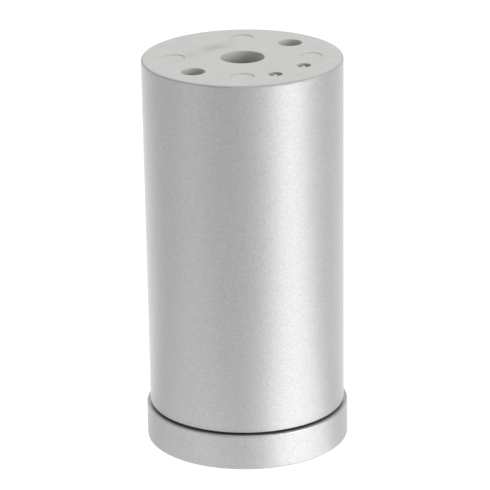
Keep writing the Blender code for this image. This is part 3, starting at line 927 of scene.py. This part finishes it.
# %% Shell
def build_shell():
    bm = bmesh.new()
    spin_outline(bm, shell_tube(), closed=False)
    face = loop_at(bm, SIDE_RADIUS - RIM - FLAT, FACE_Z)
    under = loop_at(bm, BORE - RIM_FILLET - FLAT, PLATE_LOW)
    first, last = bolt_hole(bm)
    face += first
    under += last
    for centre in SCREW_HOLES:
        first, last = screw_hole(bm, centre)
        face += first
        under += last
    for angle in PIN_MARK_ANGLES:
        face += pin_mark(bm, on_pitch(angle))
    for angle in WELL_ANGLES:
        face += gate_well(bm, on_pitch(angle))
    bmesh.ops.triangle_fill(bm, use_beauty=True, edges=face, normal=(0, 0, 1))
    bmesh.ops.triangle_fill(bm, use_beauty=True, edges=under, normal=(0, 0, -1))
    print("open edges left in the shell:", sum(e.is_boundary for e in bm.edges))
    for made in bm.faces:
        made.material_index = finish_at(made.calc_center_median())
    return to_object(bm, "shell", *SHELL_FINISHES)


shell = build_shell()
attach(shell, "leg")
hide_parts("leg_shell")

# %% [markdown]
# ## Ribs inside the shell
#
# Ribs stiffen the tube and the plate. Each is a box from one bmesh operator, with its edges
# rounded by a bevel, and its outer end reaches into the wall, as if it were moulded with it.


# %% A rib
def bevelled(bm, verts, width):
    """Rounds every edge of the shape that these vertices make."""
    edges = list({e for v in verts for e in v.link_edges})
    bmesh.ops.bevel(
        bm, geom=edges, offset=width, offset_type="OFFSET", segments=2, profile=0.5,
        affect="EDGES", material=-1,
    )


def radial_rib(bm, angle, inner, outer, low, high, thickness):
    """An upright wall that runs outwards from the axis."""
    size = Matrix.Diagonal((outer - inner, thickness, high - low, 1.0))
    shift = Matrix.Translation(((inner + outer) / 2, 0.0, (low + high) / 2))
    turn = Matrix.Rotation(math.radians(angle), 4, "Z")
    made = bmesh.ops.create_cube(bm, size=1.0, matrix=turn @ shift @ size)
    bevelled(bm, made["verts"], 0.2 * MM)


print("room for the ribs in mm:", round((BORE - HEAD_RING[1]) / MM, 1))

# %% [markdown]
# Two posts take the screws that hold the nut's carrier. A post is a tube, so it's drawn as a hole
# is, and its two open ends are bridged.

# %% A post
POST_BORE = 1.5 * MM
POST_RADIUS = 3.4 * MM
POST_EDGE = 0.2 * MM
POST_HEIGHT = 22 * MM
CARRIER_WEB = carrier_high.z - 2.1 * MM  # the carrier's web, which the ribs and posts meet


def post(bm, centre):
    """A tube with chamfered ends."""
    low, high, shoulder = CARRIER_WEB, CARRIER_WEB + POST_HEIGHT, POST_RADIUS - POST_EDGE
    first, last = draw_loop(bm, centre, [
        (POST_BORE, low), (shoulder, low), (POST_RADIUS, low + POST_EDGE),
        (POST_RADIUS, high - POST_EDGE), (shoulder, high), (POST_BORE, high),
    ], 48)
    bmesh.ops.bridge_loops(bm, edges=first + last)


print("a post's height in mm:", round(POST_HEIGHT / MM, 1))

# %% [markdown]
# Four ribs run down the wall, six gussets brace the ring round the bolt's head, and a rib joins
# each post to the wall.

# %% Ribs and posts
RIB_THICKNESS = 1.6 * MM
RIB_DEPTH = 3.2 * MM
GUSSET_THICKNESS = 1.45 * MM
POST_ANGLES = (135, 315)
INTO_WALL = 0.5 * MM


def build_ribs():
    bm = bmesh.new()
    outer = BORE + INTO_WALL
    for angle in PIN_MARK_ANGLES:
        radial_rib(bm, angle, BORE - RIB_DEPTH, outer, CARRIER_WEB, PLATE_LOW + INTO_WALL,
                   RIB_THICKNESS)
    for angle in (*PIN_MARK_ANGLES, *POST_ANGLES):
        radial_rib(bm, angle, HEAD_RING[1] - INTO_WALL, outer, HEAD_RING_LOW + 1 * MM,
                   PLATE_LOW + 0.4 * MM, GUSSET_THICKNESS)
    for angle in POST_ANGLES:
        radial_rib(bm, angle, PITCH + 2.0 * MM, outer, CARRIER_WEB + 1 * MM,
                   CARRIER_WEB + POST_HEIGHT - 1 * MM, RIB_THICKNESS)
        post(bm, on_pitch(angle))
    return to_object(bm, "shell_ribs", BARE, sharp=25.0)


ribs = build_ribs()
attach(ribs, "leg")

# %% [markdown]
# ## The foot's ring
#
# The ring is a cup with rounded edges, turned from one outline. Its floor lies over the glide, and
# a lip holds the glide in. The CAD node has the same shape in flat facets, which would break up the
# long highlight, so a smooth one takes its place.

# %% Foot ring
CUP_RADIUS = cup_high.x
CUP_BORE = core_high.x + 0.1 * MM
CUP_EDGE = 0.4 * MM
SMALL_EDGE = 0.15 * MM
GLIDE_PROUD = cup_low.z
GLIDE_TOP = glide_high.z
GLIDE_FLANGE_RADIUS = glide_high.x
GLIDE_RADIUS = GLIDE_FLANGE_RADIUS - 1.0 * MM
RUN_GAP = 0.25 * MM
POCKET_RADIUS = GLIDE_FLANGE_RADIUS + RUN_GAP
POCKET_TOP = GLIDE_TOP + RUN_GAP
LIP_TOP = GLIDE_PROUD + 0.5 * MM
CUP_FLOOR = POCKET_TOP + 1.5 * MM

cup = turned("foot_ring", [
    (0.0, POCKET_TOP), (POCKET_RADIUS, POCKET_TOP), (POCKET_RADIUS, LIP_TOP),
    (GLIDE_RADIUS + RUN_GAP + 0.1 * MM, LIP_TOP),
    *arc(GLIDE_RADIUS + RUN_GAP + SMALL_EDGE, GLIDE_PROUD + SMALL_EDGE, SMALL_EDGE, 180, 270, 3),
    *arc(CUP_RADIUS - CUP_EDGE, GLIDE_PROUD + CUP_EDGE, CUP_EDGE, 270, 360, 6),
    *arc(CUP_RADIUS - CUP_EDGE, cup_high.z - CUP_EDGE, CUP_EDGE, 0, 90, 6),
    *arc(CUP_BORE + SMALL_EDGE, cup_high.z - SMALL_EDGE, SMALL_EDGE, 90, 180, 3),
    (CUP_BORE, CUP_FLOOR), (0.0, CUP_FLOOR),
], LACQUER)
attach(cup, "foot")
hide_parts("foot_cup")

# %% [markdown]
# ## The foot's core
#
# The black core stands up into the shell's mouth and shows once the foot is wound out. It is
# hollow underneath, as thin-walled mouldings are: a hub holds the screw's head, a skirt fits the
# ring, and eight ribs join the two.

# %% Sizes of the core
HEAD_CORNER = 17.0 * MM / math.sqrt(3)  # centre to corner of the screw's hexagonal head
HEAD_TOP = spindle_low.z + 6.4 * MM
HEAD_GAP = 0.1 * MM
HUB_BORE = HEAD_CORNER + HEAD_GAP
HUB_RADIUS = HUB_BORE + 2.2 * MM
HUB_EDGE = 0.8 * MM
HUB_FILLET = 0.6 * MM
SPINDLE_BORE = 5.25 * MM
SPINDLE_CHAMFER = 0.4 * MM
CORE_RIM = cup_high.z - 0.8 * MM
CORE_EDGE = 0.3 * MM
CORE_WEB = 1.8 * MM
SKIRT_BORE = core_high.x - CORE_WEB
WEB_LOW = CORE_RIM - CORE_WEB
CORE_RIBS = 8
print("hub in mm:", round(HUB_RADIUS * 2 / MM, 1), "across, bore", round(SPINDLE_BORE * 2 / MM, 1))

# %% [markdown]
# The outline goes once round the cross-section, so it's closed and never meets the axis. The ribs
# come from the same helper as the shell's.


# %% Core
def build_core():
    bm = bmesh.new()
    spin_outline(bm, [
        (HUB_BORE, core_low.z), (HUB_RADIUS, core_low.z), (HUB_RADIUS, WEB_LOW),
        (SKIRT_BORE, WEB_LOW), (SKIRT_BORE, core_low.z), (core_high.x, core_low.z),
        *arc(core_high.x - CORE_EDGE, CORE_RIM - CORE_EDGE, CORE_EDGE, 0, 90, 4),
        *arc(HUB_RADIUS + HUB_FILLET, CORE_RIM + HUB_FILLET, HUB_FILLET, -90, -180, 4),
        *arc(HUB_RADIUS - HUB_EDGE, core_high.z - HUB_EDGE, HUB_EDGE, 0, 90, 5),
        (SPINDLE_BORE + SPINDLE_CHAMFER, core_high.z),
        (SPINDLE_BORE, core_high.z - SPINDLE_CHAMFER),
        (SPINDLE_BORE, HEAD_TOP + HEAD_GAP), (HUB_BORE, HEAD_TOP + HEAD_GAP),
    ], closed=True, steps=160)
    for i in range(CORE_RIBS):
        radial_rib(bm, i * 360 / CORE_RIBS, HUB_RADIUS - INTO_WALL, SKIRT_BORE + INTO_WALL,
                   core_low.z + 0.1 * MM, CORE_RIM - CORE_WEB / 2, RIB_THICKNESS)
    return to_object(bm, "core", NYLON)


core = build_core()
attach(core, "foot")
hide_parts("foot_core")

# %% [markdown]
# ## The glide
#
# The glide is a disc that stays still on the floor while the foot turns on it. It has a flange that
# the ring's lip holds, a rounded lower edge, and a dimple in its middle where the plastic came in.

# %% Glide
DIMPLE_RADIUS = 1.9 * MM
DIMPLE_TOP = 0.25 * MM
FLANGE_EDGE = 0.1 * MM

glide = turned("glide", [
    (0.0, DIMPLE_TOP), (DIMPLE_RADIUS - 0.3 * MM, DIMPLE_TOP),
    *arc(DIMPLE_RADIUS, SMALL_EDGE, SMALL_EDGE, 150, 270, 3),
    *arc(GLIDE_RADIUS - GLIDE_PROUD, GLIDE_PROUD, GLIDE_PROUD, 270, 360, 5),
    (GLIDE_RADIUS, LIP_TOP + FLANGE_EDGE), (GLIDE_FLANGE_RADIUS, LIP_TOP + FLANGE_EDGE),
    (GLIDE_FLANGE_RADIUS, GLIDE_TOP - FLANGE_EDGE), (GLIDE_FLANGE_RADIUS - FLANGE_EDGE, GLIDE_TOP),
    (0.0, GLIDE_TOP),
], ACETAL)
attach(glide, "glide")
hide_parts("glide_disc")

# %% [markdown]
# ## The screw
#
# A screw thread is a small profile that climbs while it turns. A stack of rings would look much the
# same, but they wouldn't climb. The spin operator can turn and lift at once: `dvec` raises every
# step a little. The profile is one pitch high, so each turn ends where the next begins.

# %% Thread profile
THREAD_PITCH = 1.5 * MM
THREAD_RADIUS = 4.9 * MM
THREAD_DEPTH = 0.92 * MM
CREST_EDGE = 0.03 * MM
THREAD_STEPS = 48


def thread_profile(start_z):
    """One pitch of the thread: root, flank, crest, flank, and the next root."""
    root, crest, shoulder = THREAD_RADIUS - THREAD_DEPTH, THREAD_RADIUS, THREAD_RADIUS - CREST_EDGE
    points = [
        (root, 0.0), (root, 0.08), (shoulder, 0.43), (crest, 0.46),
        (crest, 0.54), (shoulder, 0.57), (root, 0.92), (root, 1.0),
    ]
    return [(r, 0.0, start_z + share * THREAD_PITCH) for r, share in points]


print("turns of thread that show at full travel:", round(TRAVEL / THREAD_PITCH))

# %% [markdown]
# Merging the doubles joins the turns into one surface. A plane then cuts both ends flat, each cut
# is filled, and the tip is squeezed into a chamfer.

# %% Thread
TIP_CHAMFER = 0.8 * MM


def cut_flat(bm, z, above):
    """Cuts the mesh at a height, clears what is above or below, and fills the cut."""
    bmesh.ops.bisect_plane(
        bm, geom=bm.verts[:] + bm.edges[:] + bm.faces[:], dist=1e-7, plane_co=(0, 0, z),
        plane_no=(0, 0, 1), clear_outer=above, clear_inner=not above,
    )
    rim = [e for e in bm.edges if e.is_boundary and all(abs(v.co.z - z) < 1e-6 for v in e.verts)]
    bmesh.ops.contextual_create(bm, geom=rim)


def add_thread(bm, low, high):
    """A threaded rod between two heights."""
    turns = math.ceil((high - low) / THREAD_PITCH) + 2
    verts = [bm.verts.new(point) for point in thread_profile(HEAD_TOP - 2 * THREAD_PITCH)]
    edges = [bm.edges.new(pair) for pair in zip(verts, verts[1:])]
    bmesh.ops.spin(
        bm, geom=verts + edges, cent=(0, 0, 0), axis=(0, 0, 1), angle=math.tau * turns,
        steps=THREAD_STEPS * turns, dvec=(0, 0, THREAD_PITCH / THREAD_STEPS),
    )
    bmesh.ops.remove_doubles(bm, verts=bm.verts, dist=0.01 * MM)
    cut_flat(bm, low, above=False)
    cut_flat(bm, high, above=True)
    for v in bm.verts:
        limit = THREAD_RADIUS - max(0.0, v.co.z - (high - TIP_CHAMFER))
        if v.co.xy.length > limit:
            v.co.xy *= limit / v.co.xy.length


print("thread in mm:", round(THREAD_RADIUS * 2 / MM, 1), "across, pitch", THREAD_PITCH / MM)

# %% [markdown]
# The hexagonal head is a cone with six sides and two equal radii, bevelled.

# %% Screw with its head
HEAD_TURN_DEG = 75


def build_spindle():
    bm = bmesh.new()
    add_thread(bm, HEAD_TOP - 0.3 * MM, spindle_high.z)
    middle = Matrix.Translation((0, 0, (HEAD_TOP + spindle_low.z) / 2))
    head = bmesh.ops.create_cone(
        bm, cap_ends=True, segments=6, radius1=HEAD_CORNER, radius2=HEAD_CORNER,
        depth=HEAD_TOP - spindle_low.z,
        matrix=middle @ Matrix.Rotation(math.radians(HEAD_TURN_DEG), 4, "Z"),
    )
    bevelled(bm, head["verts"], 0.25 * MM)
    return to_object(bm, "screw_spindle", ZINC, sharp=25.0)


screw = build_spindle()
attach(screw, "foot")
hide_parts("spindle")

# %% [markdown]
# ## Pieces that keep their CAD shape
#
# The carrier, the nut, its retainer and the two screws sit inside the shell. Their CAD meshes have
# the right shape, and nothing smoother would be seen in there, so they only get a finish.

# %% Finishes on CAD nodes
for node, material in (
    ("spindle_carrier", NYLON), ("nut_retainer", NYLON), ("spindle_nut", ZINC),
    ("carrier_screw_1", ZINC), ("carrier_screw_2", ZINC),
):
    for material_slot in frame["nodes"][node].material_slots:
        material_slot.material = material
    print(node, "gets", material.name)

# %% [markdown]
# ## Studio
#
# The leg stands in a plain white studio. Its floor glows, so that it stays white in the picture and
# brightens the side from below, as paper under a strong light does. It lies one full travel below
# the glide, so that the foot stays above it when it's wound out.

# %% Floor
FLOOR_Z = -TRAVEL - 0.02 * MM
FLOOR_WHITE = (0.2, 0.2, 0.2)
FLOOR_GLOW = 0.88


def build_floor():
    bm = bmesh.new()
    bmesh.ops.create_grid(
        bm, x_segments=8, y_segments=8, size=3.0, matrix=Matrix.Translation((0.0, 0.0, FLOOR_Z)))
    material, tree, shader = start_material("floor_white", FLOOR_WHITE, 0.8)[:3]
    put(tree, shader.inputs["Specular IOR Level"], 0.0)
    put(tree, shader.inputs["Emission Color"], (1.0, 1.0, 1.0, 1.0))
    put(tree, shader.inputs["Emission Strength"], FLOOR_GLOW)
    to_object(bm, "floor", material)


build_floor()

# %% [markdown]
# A metallic side shows its surroundings more than its own colour. The world is darker on the
# camera's side, which gives the middle of the leg its grey, and bright behind the leg, which lights
# up both of its edges. A smooth step along one axis is enough for that.

# %% World
WORLD_FRONT = (0.32, 0.32, 0.32, 1.0)
WORLD_BEHIND = (1.2, 1.2, 1.2, 1.0)


def build_world():
    world = bpy.data.worlds.new("studio")
    world.use_nodes = True
    tree = world.node_tree
    where = add(tree, "ShaderNodeTexCoord").outputs["Generated"]
    towards_back = add(tree, "ShaderNodeSeparateXYZ", {"Vector": where}).outputs["Y"]
    behind = ramp(tree, towards_back, -0.6, 1.0)
    background = tree.nodes["Background"]
    put(tree, background.inputs["Color"], tinted(tree, behind, WORLD_FRONT, WORLD_BEHIND))
    put(tree, background.inputs["Strength"], 1.0)
    bpy.context.scene.world = world
    print("world's brightness:", WORLD_FRONT[0], "in front,", WORLD_BEHIND[0], "behind")


build_world()

# %% [markdown]
# ## Camera
#
# The camera looks down at the leg by almost 20 degrees from 0.8 metres away, through a long lens,
# so the upright sides stay nearly parallel. It's rolled by less than a degree.

# %% Camera
CAMERA_HEIGHT_ANGLE = math.radians(19.78)
CAMERA_DISTANCE = 0.8095
CAMERA_ROLL = math.radians(-0.862)
LENS_MM = 236.3
SENSOR_MM = 36.0
AIM = Vector((0.0, 0.0, 0.0507))


def build_camera():
    data = bpy.data.cameras.new("camera")
    data.sensor_width = SENSOR_MM
    data.lens = LENS_MM
    data.clip_start = 0.01
    made = bpy.data.objects.new("camera", data)
    back = Vector((0.0, -math.cos(CAMERA_HEIGHT_ANGLE), math.sin(CAMERA_HEIGHT_ANGLE)))
    made.matrix_world = (
        Matrix.Translation(AIM + back * CAMERA_DISTANCE)
        @ Matrix.Rotation(math.pi / 2 - CAMERA_HEIGHT_ANGLE, 4, "X")
        @ Matrix.Rotation(CAMERA_ROLL, 4, "Z")
    )
    bpy.context.scene.collection.objects.link(made)
    bpy.context.scene.camera = made
    print("field of view in degrees:", round(math.degrees(data.angle), 2))


build_camera()

# %% [markdown]
# ## Lights
#
# The lights are placed by what the side should mirror. A tall, wide soft light to the right puts
# one broad bright band on it, and a weaker one to the left lifts the other flank. Bright patches
# low on the floor brighten the sides without touching the mounting face. Each is an area light
# that is hidden from the camera.

# %% Soft lights
BOUNCE_Z = FLOOR_Z + 1 * MM


def soft_light(name, azimuth, height, distance, width, tall, radiance, upward=False):
    """An area light that faces the leg. Azimuth 0 is the camera's side, 90 is to its right."""
    light = bpy.data.lights.new(name, "AREA")
    light.shape = "ELLIPSE" if upward else "RECTANGLE"
    light.size = width
    light.size_y = tall
    light.energy = radiance * math.pi * width * tall
    angle = math.radians(azimuth)
    made = bpy.data.objects.new(name, light)
    made.location = Vector((math.sin(angle) * distance, -math.cos(angle) * distance, height))
    made.rotation_euler = (AIM - made.location).to_track_quat("-Z", "Y").to_euler()
    if upward:
        made.rotation_euler = (math.pi, 0.0, angle)
    made.visible_camera = False
    bpy.context.scene.collection.objects.link(made)
    print(f"{name}: {light.energy:.2f} W")


soft_light("right_soft_light", 54, 0.40, 1.8, 1.1, 0.8, 10.4)
soft_light("right_bounce", 53, BOUNCE_Z, 0.235, 0.16, 0.41, 1.0, upward=True)
soft_light("left_soft_light", -60, 0.45, 1.7, 0.6, 0.9, 2.2)
soft_light("left_bounce", -58, BOUNCE_Z, 0.235, 0.15, 0.41, 0.25, upward=True)
soft_light("front_bounce", -2, BOUNCE_Z, 0.056, 0.11, 0.05, 0.32, upward=True)
soft_light("back_left_bounce", -148, BOUNCE_Z, 0.27, 0.24, 0.40, 0.4, upward=True)
soft_light("back_right_bounce", 145, BOUNCE_Z, 0.27, 0.24, 0.40, 0.25, upward=True)
soft_light("top_soft_light", 20, 1.6, 0.3, 1.2, 1.2, 2.6)
bpy.context.scene.view_settings.view_transform = "Standard"
